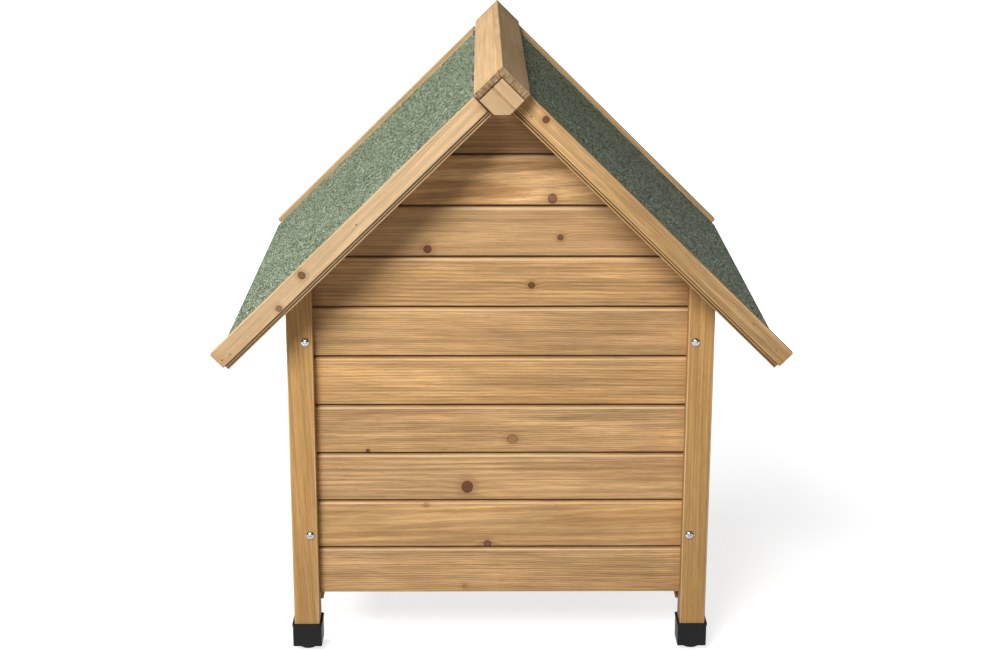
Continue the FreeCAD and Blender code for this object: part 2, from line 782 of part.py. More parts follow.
def frame_nodes():
    nodes = {}
    for name, (side, end) in CORNERS.items():
        post = rear_post(side)
        nodes[f"post_{name}"] = post if end == REAR else mirrored_y(post)
    nodes["corner_battens"] = corner_battens()
    nodes["gable_rafters"] = gable_rafters()
    nodes["doorway_stiles"] = doorway_stiles()
    nodes["floor_bearers"] = floor_bearers()
    nodes["floor_boards"] = floor_boards()
    return nodes


def roof_nodes():
    nodes = {
        "ridge_beam": ridge_beam(),
        "ridge_end_blocks": ridge_end_blocks(),
        "ridge_cap_left": ridge_cap_left(),
        "ridge_cap_right": ridge_cap_right(),
    }
    for name, side in HALVES.items():
        nodes[f"roof_deck_{name}"] = roof_deck(side)
        nodes[f"roof_felt_{name}"] = roof_felt(side)
        nodes[f"roof_rafters_{name}"] = roof_rafters(side)
        nodes[f"rear_bargeboard_{name}"] = rear_bargeboard(side)
        nodes[f"front_bargeboard_{name}"] = front_bargeboard(side)
    return nodes


def hardware_nodes():
    nodes = {
        "hinge_leaves_fixed": fixed_leaves(),
        "hinge_leaves_moving": moving_leaves(),
        "hinge_pins": hinge_pins(),
        "hinge_screws_beam": group(beam_screws()),
        "hinge_screws_lid": group(lid_screws()),
        "wall_screws": wall_screws(),
        "foot_caps": group([at_foot(foot_cap(), side, end) for side, end in CORNERS.values()]),
    }
    for name, (side, end) in CORNERS.items():
        nodes[f"foot_pad_{name}"] = at_foot(foot_pad(), side, end)
        nodes[f"foot_stem_{name}"] = at_foot(foot_stem(), side, end)
    return nodes


def main():
    os.makedirs("parts", exist_ok=True)
    nodes = {}
    nodes.update(wall_nodes())
    nodes.update(frame_nodes())
    nodes.update(roof_nodes())
    nodes.update(hardware_nodes())
    for name, shape in nodes.items():
        shape.exportStep(f"parts/{name}.step")
    print(len(nodes), "nodes; ridge line at", round(ridge, 1), "mm")


main()
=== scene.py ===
# %% [markdown]
# # A timber dog house, dressed for its picture
# The CAD model gives every board, post and screw its place and size. This lesson turns those bare
# solids into pine, felt, zinc and plastic. Nothing is moved: each new piece is cut from a copy of
# its CAD node, so the joints and gaps stay as they were designed.

# %% Load the frame
import json
import math
import random

import bmesh
import bpy
from mathutils import Matrix, Vector


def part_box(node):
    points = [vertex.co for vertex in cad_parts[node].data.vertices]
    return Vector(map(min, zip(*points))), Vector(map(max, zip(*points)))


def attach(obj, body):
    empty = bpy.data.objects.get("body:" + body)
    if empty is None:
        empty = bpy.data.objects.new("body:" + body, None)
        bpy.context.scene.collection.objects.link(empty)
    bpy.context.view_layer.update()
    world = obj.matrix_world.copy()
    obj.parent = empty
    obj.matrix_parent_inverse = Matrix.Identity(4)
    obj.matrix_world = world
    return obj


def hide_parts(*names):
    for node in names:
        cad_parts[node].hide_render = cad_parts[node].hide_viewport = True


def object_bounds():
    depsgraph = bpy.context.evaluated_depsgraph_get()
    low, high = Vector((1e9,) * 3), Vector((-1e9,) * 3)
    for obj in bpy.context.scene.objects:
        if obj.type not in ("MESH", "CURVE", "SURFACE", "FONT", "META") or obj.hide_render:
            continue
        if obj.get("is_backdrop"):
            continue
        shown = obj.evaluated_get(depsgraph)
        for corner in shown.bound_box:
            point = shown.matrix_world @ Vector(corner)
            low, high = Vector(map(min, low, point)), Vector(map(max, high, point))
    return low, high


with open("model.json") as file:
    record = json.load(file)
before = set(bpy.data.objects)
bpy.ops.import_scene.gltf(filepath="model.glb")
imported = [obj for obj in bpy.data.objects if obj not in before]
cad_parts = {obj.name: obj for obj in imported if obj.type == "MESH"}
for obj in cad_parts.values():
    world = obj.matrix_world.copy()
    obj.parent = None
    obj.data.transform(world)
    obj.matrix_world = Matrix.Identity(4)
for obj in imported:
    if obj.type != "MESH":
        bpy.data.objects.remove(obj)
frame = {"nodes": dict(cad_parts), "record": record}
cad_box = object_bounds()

nodes = frame["nodes"]
print(len(nodes), "CAD nodes, box", [tuple(round(c, 4) for c in corner) for corner in cad_box])

# %% [markdown]
# ## The camera
# The real picture was taken from behind the plain gable, a little above the middle of the roof.
# A camera can be turned with angles, but here its three axes are worked out as vectors, because
# the slight roll is then one clear step.

# %% Camera
LENS = 67.97
PITCH_DOWN = math.radians(15.97)
YAW = math.radians(0.61)
ROLL = math.radians(0.14)
EYE = (-0.0249, -2.5188, 1.0954)
forward = Vector((math.sin(YAW) * math.cos(PITCH_DOWN), math.cos(YAW) * math.cos(PITCH_DOWN), -math.sin(PITCH_DOWN)))
level = Vector((math.cos(YAW), -math.sin(YAW), 0))
upright = level.cross(forward)
right = level * math.cos(ROLL) + upright * math.sin(ROLL)
up = upright * math.cos(ROLL) - level * math.sin(ROLL)

camera = bpy.data.objects.new("camera", bpy.data.cameras.new("camera"))
bpy.context.scene.collection.objects.link(camera)
camera.data.lens = LENS
camera.data.sensor_width = 36.0
camera.data.shift_x = -0.0005
camera.data.shift_y = -0.0006
turned = Matrix((right, up, -forward)).transposed().to_4x4()
camera.matrix_world = Matrix.Translation(EYE) @ turned
bpy.context.scene.camera = camera
print("camera looks along", [round(c, 3) for c in forward])

# %% [markdown]
# ## Directions on the roof
# Both roof halves lean at the same angle. A place on one is easiest to give by its run down the
# slope from the ridge line and its rise off the felt, so these two helpers turn that into x, y, z.

# %% Roof directions
SLOPE = math.radians(44.37)
RIDGE = 0.7719
LEFT, RIGHT = -1, 1


def down_slope(side):
    return Vector((side * math.cos(SLOPE), 0, -math.sin(SLOPE)))


def off_slope(side):
    return Vector((side * math.sin(SLOPE), 0, math.cos(SLOPE)))


def on_roof(side, run, rise, y):
    """A point in metres from millimetres along and off one slope."""
    place = down_slope(side) * run / 1000 + off_slope(side) * rise / 1000
    return place + Vector((0, y / 1000, RIDGE))


print("slope runs along", [round(c, 3) for c in down_slope(RIGHT)])

# %% [markdown]
# ## Short words for shader nodes
# A procedural material is a small machine of nodes. Wiring it by hand takes three lines a node, so
# this class gives each common node one short call that returns its output socket.

# %% Node helper


class Bench:
    """Lays nodes on one node tree."""

    def __init__(self, tree):
        self.tree = tree

    def add(self, kind, **settings):
        node = self.tree.nodes.new("ShaderNode" + kind)
        for key, value in settings.items():
            setattr(node, key, value)
        return node

    def feed(self, socket, value):
        if isinstance(value, bpy.types.NodeSocket):
            self.tree.links.new(value, socket)
        else:
            socket.default_value = value

    def math(self, operation, *values, clamp=False):
        node = self.add("Math", operation=operation, use_clamp=clamp)
        for socket, value in zip(node.inputs, values):
            self.feed(socket, value)
        return node.outputs[0]

    def split(self, vector):
        node = self.add("SeparateXYZ")
        self.feed(node.inputs[0], vector)
        return node.outputs[:3]

    def join(self, x, y, z):
        node = self.add("CombineXYZ")
        for socket, value in zip(node.inputs, (x, y, z)):
            self.feed(socket, value)
        return node.outputs[0]

    def stretch(self, parts, factors):
        return self.join(*[self.math("MULTIPLY", p, f) for p, f in zip(parts, factors)])

    def noise(self, vector, scale=1.0, detail=2.0, roughness=0.5):
        node = self.add("TexNoise")
        self.feed(node.inputs["Vector"], vector)
        node.inputs["Scale"].default_value = scale
        node.inputs["Detail"].default_value = detail
        node.inputs["Roughness"].default_value = roughness
        return node.outputs["Fac"]

    def rise(self, value, low, high):
        """0 below low, 1 above high, smooth between."""
        node = self.add("MapRange", interpolation_type="SMOOTHSTEP")
        self.feed(node.inputs["Value"], value)
        self.feed(node.inputs["From Min"], low)
        self.feed(node.inputs["From Max"], high)
        return node.outputs["Result"]

    def stripe(self, value, limits):
        """1 between the inner two limits, 0 beyond the outer two."""
        low, near, far, high = limits
        falling = self.math("SUBTRACT", 1.0, self.rise(value, far, high))
        return self.math("MULTIPLY", self.rise(value, low, near), falling)

    def swing(self, value, amount):
        """A noise value turned into a factor around 1."""
        return self.math("MULTIPLY_ADD", value, amount, 1 - amount / 2)

    def blend(self, factor, first, second, kind="MIX"):
        node = self.add("Mix", data_type="RGBA", blend_type=kind)
        self.feed(node.inputs[0], factor)
        self.feed(node.inputs[6], first)
        self.feed(node.inputs[7], second)
        return node.outputs[2]

    def shade(self, colour, factor):
        node = self.add("VectorMath", operation="SCALE")
        self.feed(node.inputs[0], colour)
        self.feed(node.inputs["Scale"], factor)
        return node.outputs[0]

    def attribute(self, name):
        return self.add("Attribute", attribute_name=name).outputs

    def bump(self, height, distance, strength=1.0):
        node = self.add("Bump")
        self.feed(node.inputs["Height"], height)
        node.inputs["Distance"].default_value = distance
        node.inputs["Strength"].default_value = strength
        return node.outputs["Normal"]


SOCKETS = {"v": "NodeSocketVector", "f": "NodeSocketFloat", "c": "NodeSocketColor"}


def new_group(name, inputs, outputs):
    """An empty node group with typed, named sockets."""
    tree = bpy.data.node_groups.new(name, "ShaderNodeTree")
    for way, sockets in (("INPUT", inputs), ("OUTPUT", outputs)):
        for label, kind in sockets.items():
            tree.interface.new_socket(name=label, in_out=way, socket_type=SOCKETS[kind])
    return tree, tree.nodes.new("NodeGroupInput").outputs, tree.nodes.new("NodeGroupOutput").inputs


def new_material(name, slot_colour):
    """A material with one Principled shader; the plain colour shows in the solid view."""
    material = bpy.data.materials.new(name)
    material.use_nodes = True
    material.diffuse_color = (*slot_colour, 1)
    shader = material.node_tree.nodes["Principled BSDF"]
    return material, Bench(material.node_tree), shader.inputs


def place_group(bench, tree, **values):
    """Puts a group in a material and feeds its inputs by name."""
    node = bench.add("Group")
    node.node_tree = tree
    for label, value in values.items():
        bench.feed(node.inputs[label.replace("_", " ")], value)
    return node.outputs


print("node helper ready")

# %% [markdown]
# ## Pine, inside and out
# Sawn pine shows growth rings, which are shells round the tree's middle. A flat picture of stripes
# would not match at a board's end, so the group measures each point's distance from a pith line
# that lies beside the board, and the faces and ends then agree. Slow noise bends the shells, and
# each knot pushes them aside. Fine fibres run along the board over all of it.
#
# Sunk faces are painted darker, as painted shade, and two stripes of darker colour on them, at fixed
# shares of the board's half width, paint the shadow under a board's edge. This is colour and not shape:
# it deepens the step at a wall's seam and on a bargeboard, and the lower stripe on a bargeboard's tongue
# has no step below it.

# %% Pine group
KNOT_RIM = (0.76, 0.92, 0.96, 1.12)
LATE_WOOD = (0.25, 0.86, 0.88, 1.0)
# Shares of the half width that carry painted shade: at a wall's seam and on a bargeboard's tongue.
SEAM_PAINTED_SHADE = (0.755, 0.785, 0.87, 0.91)
STEP_PAINTED_SHADE = (0.55, 0.57, 0.64, 0.68)
# The pale colour of the painted highlight on eased and outward-leaning faces.
PAINTED_HIGHLIGHT_WOOD = (0.88, 0.70, 0.44, 1)
WARM_TINT = (1.0, 0.84, 0.48, 1)
pine, given, made = new_group(
    "pine_grain",
    {
        "Timber": "v", "Knot One": "v", "Knot Two": "v", "Figure": "v", "Face": "v", "Reach": "v",
        "Pale Wood": "c", "Ring Wood": "c", "Knot Wood": "c",
    },
    {"Colour": "c", "Roughness": "f", "Height": "f"},
)
b = Bench(pine)
along, across, through = b.split(given["Timber"])
parts = (along, across, through)
ring_width, ring_depth, tone = b.split(given["Figure"])
arris, end_grain, recess = b.split(given["Face"])
to_end, to_edge, warmth = b.split(given["Reach"])
to_end, to_edge = b.math("ABSOLUTE", to_end), b.math("ABSOLUTE", to_edge)

sway = b.noise(b.stretch(parts, (2.4, 10, 10)), detail=2)
drift = b.noise(b.stretch(parts, (1.1, 5, 5)), scale=1.7, detail=1)
ripple = b.noise(b.stretch(parts, (9, 60, 60)), detail=1)
across = b.math("MULTIPLY_ADD", b.math("SUBTRACT", sway, 0.5), 0.013, across)
through = b.math("MULTIPLY_ADD", b.math("SUBTRACT", drift, 0.5), 0.018, through)


def knot_masks(vector):
    """Core, rim, halo and push of one knot, from its own scaled plane."""
    x, y, depth = b.split(vector)
    far = b.math("SQRT", b.math("ADD", b.math("MULTIPLY", x, x), b.math("MULTIPLY", y, y)))
    far = b.math("MULTIPLY_ADD", b.math("SUBTRACT", ripple, 0.5), 0.75, far)
    core = b.math("MULTIPLY", depth, b.math("SUBTRACT", 1.0, b.rise(far, 0.80, 1.02)))
    rim = b.stripe(far, KNOT_RIM)
    halo = b.math("SUBTRACT", 1.0, b.rise(far, 0.9, 2.8))
    wide = b.math("SQRT", b.math("ADD", b.math("MULTIPLY", b.math("MULTIPLY", x, x), 0.25), b.math("MULTIPLY", y, y)))
    push = b.math("SUBTRACT", 1.0, b.rise(wide, 0.2, 2.6))
    return [b.math("MULTIPLY", mask, depth) for mask in (core, rim, halo, push)] + [far]


one = knot_masks(given["Knot One"])
two = knot_masks(given["Knot Two"])
core, rim, halo, push = [b.math("MAXIMUM", first, second) for first, second in zip(one[:4], two[:4])]
near = b.math("MINIMUM", one[4], two[4])

reach = b.math("SQRT", b.math("ADD", b.math("MULTIPLY", across, across), b.math("MULTIPLY", through, through)))
reach = b.math("MULTIPLY_ADD", push, 0.0035, reach)
phase = b.math("DIVIDE", b.math("MULTIPLY_ADD", ripple, 0.0012, reach), b.math("MULTIPLY", ring_width, 0.001))
year = b.noise(b.join(b.math("MULTIPLY", phase, 0.8), b.math("MULTIPLY", along, 0.7), 0.0), detail=1)
ring = b.math("FRACT", phase)
late = b.stripe(ring, LATE_WOOD)
late = b.math("MULTIPLY", late, b.math("MULTIPLY", ring_depth, b.swing(year, 1.3)), clamp=True)

fibre = b.noise(b.stretch(parts, (26, 1150, 1150)), detail=2, roughness=0.6)
streak = b.noise(b.stretch(parts, (4.2, 170, 170)), detail=3, roughness=0.6)
cloud = b.noise(b.stretch(parts, (5, 22, 22)), detail=3, roughness=0.55)
warm = b.noise(b.stretch(parts, (3.1, 13, 13)), scale=1.3, detail=2)
pore = b.noise(b.stretch(parts, (85, 1400, 1400)), detail=1)

wood = b.blend(late, given["Pale Wood"], given["Ring Wood"])
wood = b.blend(b.math("MULTIPLY", b.rise(warm, 0.48, 0.72), 0.30), wood, given["Ring Wood"])
light = b.math("MULTIPLY", b.swing(fibre, 0.90), b.swing(streak, 1.20))
light = b.math("MULTIPLY", light, b.swing(cloud, 0.80))
light = b.math("POWER", light, b.math("MULTIPLY_ADD", ring_depth, 1.8, 0.30))
light = b.math("MULTIPLY", light, b.math("SUBTRACT", 1.0, b.math("MULTIPLY", b.rise(pore, 0.60, 0.72), 0.20)))
# Painted highlight: the arris share brightens eased and outward-leaning faces.
light = b.math("MULTIPLY", light, b.math("MULTIPLY_ADD", arris, 0.12, tone))
wood = b.shade(wood, light)
# Darker in patches towards the board's long edges, and towards its ends.
edge_darkening = b.math("MULTIPLY", b.rise(to_edge, 0.45, 1.0), b.rise(cloud, 0.42, 0.62))
edge_and_end_darkening = b.math("MAXIMUM", edge_darkening, b.rise(to_end, 0.90, 1.0))
# Painted highlight: the same faces are blended towards a pale colour.
wood = b.blend(b.math("MULTIPLY", arris, 0.50), wood, PAINTED_HIGHLIGHT_WOOD)
wood = b.blend(b.math("MULTIPLY", edge_and_end_darkening, 0.34), wood, b.shade(given["Ring Wood"], 0.90))
# Painted shade: sunk faces are darkened, and darkest in two stripes where shadow falls at a seam and on a
# bargeboard's tongue.
painted_shade_stripes = b.math("MAXIMUM", b.stripe(to_edge, SEAM_PAINTED_SHADE), b.stripe(to_edge, STEP_PAINTED_SHADE))
joint_painted_shade = b.math("MULTIPLY", recess, painted_shade_stripes)
wood = b.blend(b.math("MULTIPLY", recess, 0.30), wood, b.shade(given["Ring Wood"], 0.80))
wood = b.blend(b.math("MULTIPLY", joint_painted_shade, 0.92), wood, b.shade(given["Ring Wood"], 0.10))
wood = b.blend(b.math("MULTIPLY", warmth, 0.5), wood, b.blend(1.0, wood, WARM_TINT, "MULTIPLY"))

saw = b.noise(b.stretch(parts, (40, 900, 120)), detail=2)
cut = b.blend(b.rise(saw, 0.40, 0.62), b.shade(given["Ring Wood"], 0.28), b.shade(given["Pale Wood"], 0.62))
cut = b.blend(b.math("MULTIPLY", late, 0.8), cut, b.shade(given["Ring Wood"], 0.32))
wood = b.blend(b.math("MULTIPLY", end_grain, 0.85), wood, cut)

wood = b.blend(b.math("MULTIPLY", halo, 0.42), wood, b.shade(given["Ring Wood"], 0.78))
heart = b.math("SINE", b.math("MULTIPLY", near, 19.0))
knot = b.blend(b.rise(heart, -0.9, 0.95), b.shade(given["Knot Wood"], 0.8), b.shade(given["Knot Wood"], 1.9))
knot = b.shade(knot, b.swing(fibre, 1.3))
wood = b.blend(b.math("MULTIPLY", core, 0.92), wood, knot)
wood = b.blend(b.math("MULTIPLY", rim, 0.80), wood, b.shade(given["Knot Wood"], 0.50))

rough = b.math("MULTIPLY_ADD", b.math("SUBTRACT", fibre, 0.5), 0.16, 0.56)
rough = b.math("SUBTRACT", rough, b.math("MULTIPLY", b.math("MAXIMUM", arris, core), 0.08))
height = b.math("MULTIPLY_ADD", fibre, 0.55, b.math("MULTIPLY", late, 0.45))
height = b.math("MULTIPLY_ADD", b.math("SUBTRACT", 1.0, rim), 0.5, height)
b.feed(made["Colour"], wood)
b.feed(made["Roughness"], rough)
b.feed(made["Height"], height)
print("pine_grain has", len(pine.nodes), "nodes")

# %% [markdown]
# ## Four pine finishes
# The same group serves all of them: only the two wood colours and the relief change, so a new
# timber is one line.

# %% Pine finishes
KNOT_WOOD = (0.105, 0.036, 0.020, 1)


def pine_finish(name, pale, late_wood, relief):
    material, bench, shader = new_material(name, pale)
    outputs = place_group(
        bench, pine,
        Timber=bench.attribute("timber")["Vector"],
        Knot_One=bench.attribute("knot_one")["Vector"],
        Knot_Two=bench.attribute("knot_two")["Vector"],
        Figure=bench.attribute("figure")["Vector"],
        Face=bench.attribute("face_kind")["Vector"],
        Reach=bench.attribute("reach")["Vector"],
        Pale_Wood=(*pale, 1), Ring_Wood=(*late_wood, 1), Knot_Wood=KNOT_WOOD,
    )
    bench.feed(shader["Base Color"], outputs["Colour"])
    bench.feed(shader["Roughness"], outputs["Roughness"])
    bench.feed(shader["Normal"], bench.bump(outputs["Height"], relief))
    shader["Specular IOR Level"].default_value = 0.16
    return material


finishes = {
    "wall_pine": pine_finish("wall_pine", (0.63, 0.400, 0.192), (0.39, 0.188, 0.066), 0.00030),
    "frame_pine": pine_finish("frame_pine", (0.63, 0.372, 0.145), (0.42, 0.210, 0.062), 0.00025),
    "trim_pine": pine_finish("trim_pine", (0.68, 0.470, 0.265), (0.46, 0.255, 0.105), 0.00025),
    "inner_pine": pine_finish("inner_pine", (0.68, 0.475, 0.270), (0.50, 0.300, 0.140), 0.00040),
}
print("pine finishes:", ", ".join(finishes))

# %% [markdown]
# ## Green mineral felt
# Roofing felt is bitumen pressed full of coloured stone grit. Each grain is a millimetre or two, so
# Voronoi cells give the grains, and their random colour picks dark, green or pale stone. Broad
# noise thins the grit in places, as the roll shows where it was walked on or folded.

# %% Felt
GRAINS_PER_METRE = 640
felt, b, shader = new_material("green_felt", (0.16, 0.22, 0.17))
place = b.add("TexCoord").outputs["Object"]
grains = b.add("TexVoronoi", feature="F1")
b.feed(grains.inputs["Vector"], place)
grains.inputs["Scale"].default_value = GRAINS_PER_METRE
pick = b.split(grains.outputs["Color"])[0]
patch = b.noise(place, scale=16, detail=4, roughness=0.6)
clump = b.noise(place, scale=330, detail=2)
grit = b.blend(b.rise(pick, 0.10, 0.75), (0.010, 0.026, 0.008, 1), (0.126, 0.210, 0.078, 1))
pale = b.rise(b.math("MULTIPLY_ADD", clump, 0.55, b.math("MULTIPLY", pick, 0.80)), 0.74, 0.92)
grit = b.blend(pale, grit, (0.56, 0.62, 0.46, 1))
specks = b.math("MULTIPLY_ADD", b.rise(clump, 0.36, 0.64), 1.25, 0.38)
grit = b.shade(grit, b.math("MULTIPLY", b.swing(patch, 0.55), specks))
b.feed(shader["Base Color"], grit)
b.feed(shader["Roughness"], b.math("MULTIPLY_ADD", pick, -0.50, 0.85))
grain_height = b.math("SUBTRACT", b.math("MULTIPLY", pick, 0.6), grains.outputs["Distance"])
b.feed(shader["Normal"], b.bump(grain_height, 0.0011, 1.0))
shader["Specular IOR Level"].default_value = 0.20
finishes["green_felt"] = felt
print("felt grains are about", round(1000 / GRAINS_PER_METRE, 1), "mm")

# %% [markdown]
# ## A shared group for metal and plastic
# Zinc, pressed steel and moulded plastic all carry fine handling marks and a little dust. One
# group gives a mottled mask and a height. Each material sets how coarse and how strong they are.

# %% Handling marks group
handled, given, made = new_group(
    "handling_marks", {"Place": "v", "Coarseness": "f", "Amount": "f"}, {"Mask": "f", "Height": "f"}
)
b = Bench(handled)
spread = b.add("VectorMath", operation="SCALE")
b.feed(spread.inputs[0], given["Place"])
b.feed(spread.inputs["Scale"], given["Coarseness"])
fine = b.noise(spread.outputs[0], scale=1.0, detail=3, roughness=0.65)
broad = b.noise(spread.outputs[0], scale=0.12, detail=2)
mottle = b.math("MULTIPLY", fine, b.math("ADD", broad, 0.5))
b.feed(made["Mask"], b.math("MULTIPLY", b.rise(mottle, 0.35, 0.75), given["Amount"]))
b.feed(made["Height"], fine)
print("handling_marks has", len(handled.nodes), "nodes")

# %% Metal and plastic finishes


def hard_finish(name, clean, marked, metallic, roughness, coarseness, amount, relief):
    material, bench, shader = new_material(name, clean)
    outputs = place_group(
        bench, handled,
        Place=bench.add("TexCoord").outputs["Object"], Coarseness=coarseness, Amount=amount,
    )
    bench.feed(shader["Base Color"], bench.blend(outputs["Mask"], (*clean, 1), (*marked, 1)))
    bench.feed(shader["Roughness"], bench.math("MULTIPLY_ADD", outputs["Mask"], 0.25, roughness))
    bench.feed(shader["Normal"], bench.bump(outputs["Height"], relief))
    shader["Metallic"].default_value = metallic
    return material


HARD = {
    "zinc_steel": ((0.55, 0.58, 0.62), (0.30, 0.31, 0.32), 1.0, 0.20, 900, 0.5, 0.00004),
    "hinge_steel": ((0.48, 0.49, 0.48), (0.28, 0.28, 0.27), 1.0, 0.38, 700, 0.6, 0.00006),
    "nail_steel": ((0.13, 0.11, 0.09), (0.06, 0.05, 0.045), 1.0, 0.50, 700, 0.6, 0.00004),
    "black_plastic": ((0.006, 0.0055, 0.006), (0.020, 0.019, 0.019), 0.0, 0.46, 800, 0.5, 0.00014),
}
for name, settings in HARD.items():
    finishes[name] = hard_finish(name, *settings)
plastic = finishes["black_plastic"].node_tree.nodes["Principled BSDF"]
plastic.inputs["Specular IOR Level"].default_value = 0.22
print("finishes:", ", ".join(finishes))

# %% [markdown]
# ## Taking a CAD node apart
# A CAD node is a cloud of loose triangles, and some hold several solids that touch. Merging all
# their doubles at once would weld neighbours together. The triangles come solid by solid, though,
# and a closed solid uses every edge twice, so an edge list that has just emptied marks the end of
# one. Each solid is then merged and its flat faces are made whole again.

# %% Solids of a node
FLAT = math.radians(0.6)


def solids_of(name):
    """One cleaned bmesh for each closed solid of a CAD node."""
    mesh = nodes[name].data
    open_edges, run, runs = set(), set(), []
    for face in mesh.polygons:
        corners = [tuple(round(c * 1e6) for c in mesh.vertices[v].co) for v in face.vertices]
        run.add(face.index)
        for here, there in zip(corners, corners[1:] + corners[:1]):
            open_edges ^= {frozenset((here, there))}
        if not open_edges:
            runs.append(run)
            run = set()
    if run:
        runs.append(run)
    for run in runs:
        bm = bmesh.new()
        bm.from_mesh(mesh)
        bm.faces.ensure_lookup_table()
        bmesh.ops.delete(bm, geom=[f for f in bm.faces if f.index not in run], context="FACES")
        bmesh.ops.remove_doubles(bm, verts=bm.verts, dist=2e-6)
        for face in bm.faces:
            face.smooth = False
        bmesh.ops.dissolve_limit(bm, angle_limit=FLAT, verts=bm.verts, edges=bm.edges)
        yield bm


print("rear_board_01 has", [len(bm.faces) for bm in solids_of("rear_board_01")], "faces once cleaned")

# %% [markdown]
# ## Easing the edges
# Planed timber never has a razor edge: a fine arris catches the light along every board. A Bevel
# modifier would do it, but bmesh's own bevel also tells which faces it made, and the pine shader
# wants to know, so that it can paint those edges paler, as a painted highlight.

# %% Ease edges
SHARP = math.radians(24)


def ease(bm, width, segments=2, shortest=0.0015):
    """Rounds the outward edges and marks what was made. Facets of a curve become smooth."""
    for face in bm.faces:
        bends = [e.calc_face_angle(0) for e in face.edges if e.is_manifold]
        face.smooth = any(FLAT < bend < SHARP for bend in bends)
    edges = [
        e for e in bm.edges
        if e.is_manifold and e.is_convex and e.calc_face_angle(0) > SHARP and e.calc_length() > shortest
    ]
    result = bmesh.ops.bevel(
        bm, geom=edges, offset=width, offset_type="OFFSET", segments=segments, profile=0.5,
        affect="EDGES", clamp_overlap=True, material=-1,
    )
    for face in result["faces"]:
        face.smooth = True
    return set(result["faces"])


def save_piece(name, meshes, material, body, replaced):
    """Joins bmeshes into one object at the origin, rides it on its body and hides the CAD nodes it replaces."""
    whole = bmesh.new()
    for bm in meshes:
        part = bpy.data.meshes.new("part")
        bm.to_mesh(part)
        bm.free()
        whole.from_mesh(part)
        bpy.data.meshes.remove(part)
    mesh = bpy.data.meshes.new(name)
    whole.to_mesh(mesh)
    whole.free()
    mesh.materials.append(material)
    piece = bpy.data.objects.new(name, mesh)
    bpy.context.scene.collection.objects.link(piece)
    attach(piece, body)
    if replaced:
        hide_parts(*replaced)
    return piece


body_of_node = {node: body for body, members in frame["record"]["behaviour"]["bodies"].items() for node in members}
print("bodies:", ", ".join(sorted(set(body_of_node.values()))))

# %% [markdown]
# ## Marking each timber with its own tree
# Every board came from a different tree. The mesh carries that as attributes on its vertices: where
# each point lies along, across and through its board, measured from a pith line of the board's own,
# then up to two knots, and the figure of its grain. The draws are seeded by the board's name, so
# adding one board never changes another.

# %% Timber attributes
KNOT_AWAY = Vector((50, 50, 0))
END_FACING = 0.85
# Faces that lean outward between these two shares get the painted highlight; sunk faces get painted shade.
HIGHLIGHT_FACING = (0.55, 0.985)
SUNK_FACING = 0.6
SUNK_DEPTH = 0.002
SHOULDER_DOWN = 0.0018
SHOULDER_BACK = 0.0009


def mark_timber(bm, name, index, along, thin, knots, figure, eased):
    """Stores a solid's place in its own tree, its knots and its figure."""
    draw = random.Random(f"{name} {index}")
    across = thin.cross(along).normalized()
    axes = (along, across, thin)
    middle = Vector()
    for axis in axes:
        run = [v.co.dot(axis) for v in bm.verts]
        middle += axis * (min(run) + max(run)) / 2
    reach = [max((max(v.co.dot(a) for v in bm.verts) - min(v.co.dot(a) for v in bm.verts)) / 2, 1e-4) for a in axes]
    shift = draw.uniform(-5, 5)
    straight = draw.random() < 0.5 if len(figure or ()) < 4 else figure[3]
    if straight:
        pith = (draw.choice((-1, 1)) * draw.uniform(0.05, 0.09), draw.uniform(0.01, 0.03))
        lean = (draw.uniform(-0.012, 0.012), draw.uniform(-0.01, 0.01))
    else:
        pith = (draw.uniform(-0.03, 0.03), draw.choice((-1, 1)) * draw.uniform(0.018, 0.07))
        lean = (draw.uniform(-0.05, 0.05), draw.uniform(-0.04, 0.04))
    warmth = figure[4] if len(figure or ()) > 4 else draw.uniform(0.0, 0.5)
    figure = figure or (draw.uniform(2.6, 5.0), draw.uniform(0.40, 0.85), draw.uniform(0.92, 1.06))
    if knots is None:
        knots = []
        for _ in range(draw.choice((0, 0, 1, 1, 2))):
            along_by = along * reach[0] * draw.uniform(-0.85, 0.85)
            across_by = across * reach[1] * draw.uniform(-0.75, 0.75)
            place = middle + along_by + across_by
            knots.append((place, draw.uniform(2.5, 6.0), draw.uniform(0.6, 1.0)))
    layers = bm.verts.layers.float_vector
    timber, first, second, kind, spread = [
        layers.new(label) for label in ("timber", "knot_one", "knot_two", "figure", "reach")
    ]
    outer = max(v.co.dot(thin) for v in bm.verts)
    for v in bm.verts:
        l, a, t = [(v.co - middle).dot(axis) for axis in axes]
        v[timber] = Vector((l + shift, a + pith[0] + lean[0] * l, t + pith[1] + lean[1] * l))
        v[kind] = Vector(figure[:3])
        v[spread] = Vector((l / reach[0], a / reach[1], warmth))
        for layer, knot in zip((first, second), (list(knots) + [None, None])[:2]):
            if knot is None:
                v[layer] = KNOT_AWAY
            else:
                away = (v.co - knot[0]) * 1000 / knot[1]
                v[layer] = Vector((away.dot(along), away.dot(across), knot[2]))
    face_kind = bm.faces.layers.float_vector.new("face_kind")
    for face in bm.faces:
        at_end = abs(face.normal.dot(along)) > END_FACING
        outward = face.normal.dot(thin)
        # Eased and outward-leaning faces are marked for the painted highlight, sunk ones for painted shade.
        painted_highlight = face in eased or (not at_end and HIGHLIGHT_FACING[0] < outward < HIGHLIGHT_FACING[1])
        below = outer - face.calc_center_median().dot(thin)
        sunk = below > SUNK_DEPTH and not at_end and outward > SUNK_FACING
        face[face_kind] = Vector((float(painted_highlight), float(at_end), float(sunk and not painted_highlight)))


